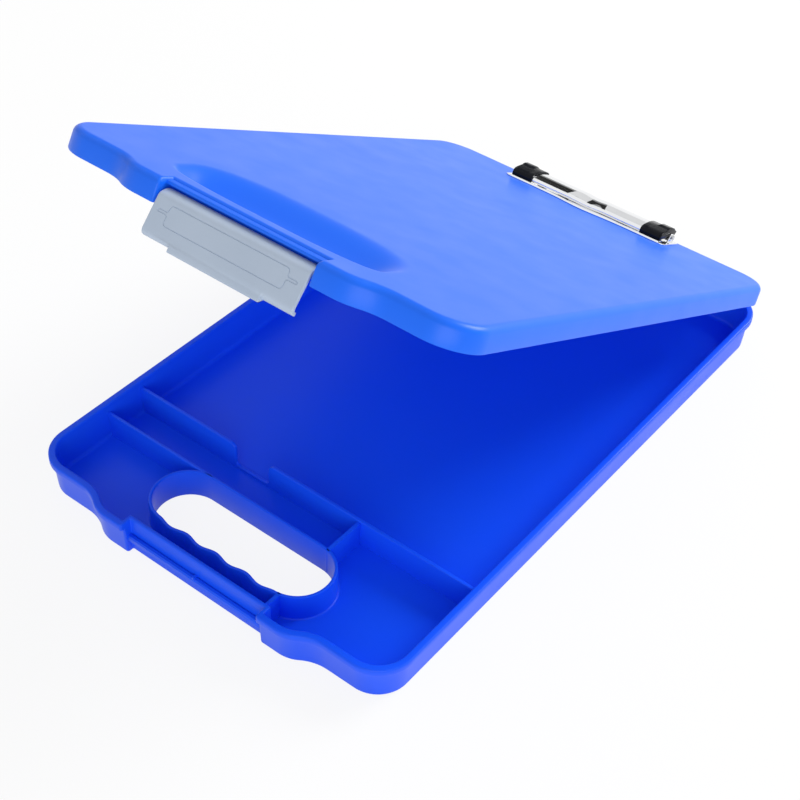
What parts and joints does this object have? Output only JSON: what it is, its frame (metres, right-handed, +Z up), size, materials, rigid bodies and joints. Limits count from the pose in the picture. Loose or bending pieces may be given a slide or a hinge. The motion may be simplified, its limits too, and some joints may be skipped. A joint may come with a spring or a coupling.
{
  "type": "storage clipboard box",
  "caption": "Shallow moulded storage box with compartments and a handle hole, a hinged writing-board lid, a pull latch and a sprung steel paper clip.",
  "frame": {"origin": "middle of the tray's underside, on the surface it rests on", "axes": "+X to the right across the box, +Y from the handle end to the lid hinge, +Z up"},
  "size_m": [0.251, 0.3996, 0.219],
  "materials": {
    "tray_plastic": "satin moulded polypropylene",
    "lid_plastic": "satin moulded polypropylene, fine grain on top",
    "latch_plastic": "satin metallic grey",
    "clip_chrome": "bright plated steel",
    "cap_plastic": "smooth black",
    "pin_steel": "drawn steel"
  },
  "bodies": {
    "tray": {"base_tray": "tray_plastic", "hinge_pin_left": "pin_steel", "hinge_pin_right": "pin_steel"},
    "lid": {"lid": "lid_plastic", "clip_base_plate": "clip_chrome", "clip_hinge_rod": "pin_steel", "clip_rivet_left": "clip_chrome", "clip_rivet_right": "clip_chrome", "rivet_washer_left": "pin_steel", "rivet_washer_right": "pin_steel", "clip_spring_left": "pin_steel", "clip_spring_right": "pin_steel"},
    "latch": {"latch": "latch_plastic"},
    "clip_arm": {"clip_arm": "clip_chrome", "clip_cap_left": "cap_plastic", "clip_cap_right": "cap_plastic"}
  },
  "joints": [
    {"name": "lid_hinge", "type": "hinge", "parent": "tray", "child": "lid", "pos_m": [0, 0.2004, 0.031], "axis": [-1, 0, 0], "range_deg": [-27.7, 152.3]},
    {"name": "latch_pivot", "type": "hinge", "parent": "lid", "child": "latch", "pos_m": [0, -0.14425, 0.21116], "axis": [-1, 0, 0], "range_deg": [-16, 34]},
    {"name": "clip_pivot", "type": "hinge", "parent": "lid", "child": "clip_arm", "pos_m": [0, 0.18619, 0.04998], "axis": [-1, 0, 0], "range_deg": [0, 26], "stiffness_Nm_per_rad": 0.2, "springref_deg": -34.38, "deforming": ["clip_spring_left", "clip_spring_right"]}
  ]
}
